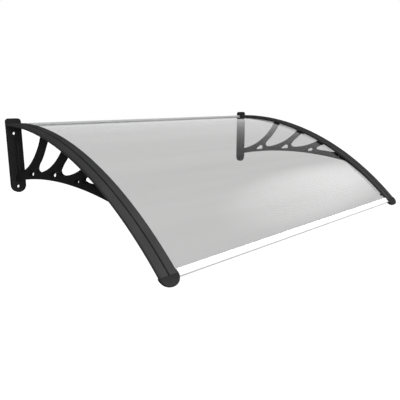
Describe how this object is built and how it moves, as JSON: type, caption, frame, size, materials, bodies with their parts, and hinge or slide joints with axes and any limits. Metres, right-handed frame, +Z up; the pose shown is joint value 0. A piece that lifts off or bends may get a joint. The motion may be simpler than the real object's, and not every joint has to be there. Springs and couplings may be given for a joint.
{
  "type": "door canopy",
  "caption": "Curved wall-mounted door canopy: a clear rigid sheet arched between two black brackets with openwork struts, held by press strips and metal edge bars.",
  "frame": {"origin": "centre of the wall seal's flat back, on the wall, midway between the two brackets", "axes": "+X to the viewer's right when facing the wall, +Y into the wall, +Z up; the canopy reaches out towards -Y"},
  "size_m": [1.172, 0.7912, 0.3374],
  "materials": {
    "bracket": "fine moulded grain, satin black",
    "press_strip": "smooth extruded, satin black",
    "gasket": "dull",
    "sheet": "clear polished sheet, faint grey tint",
    "edge_bar": "satin anodised",
    "screw": "zinc plated"
  },
  "bodies": {
    "root": {"bracket_left": "bracket", "bracket_right": "bracket", "press_strip_left": "press_strip", "press_strip_right": "press_strip", "strip_gasket_left": "gasket", "strip_gasket_right": "gasket", "clear_sheet": "sheet", "front_bar": "edge_bar", "rear_bar": "edge_bar", "wall_seal": "gasket", "bar_screw_left": "screw", "bar_screw_right": "screw", "strip_screw_left_1": "screw", "strip_screw_left_2": "screw", "strip_screw_left_3": "screw", "strip_screw_left_4": "screw", "strip_screw_left_5": "screw", "strip_screw_right_1": "screw", "strip_screw_right_2": "screw", "strip_screw_right_3": "screw", "strip_screw_right_4": "screw", "strip_screw_right_5": "screw"}
  },
  "joints": []
}
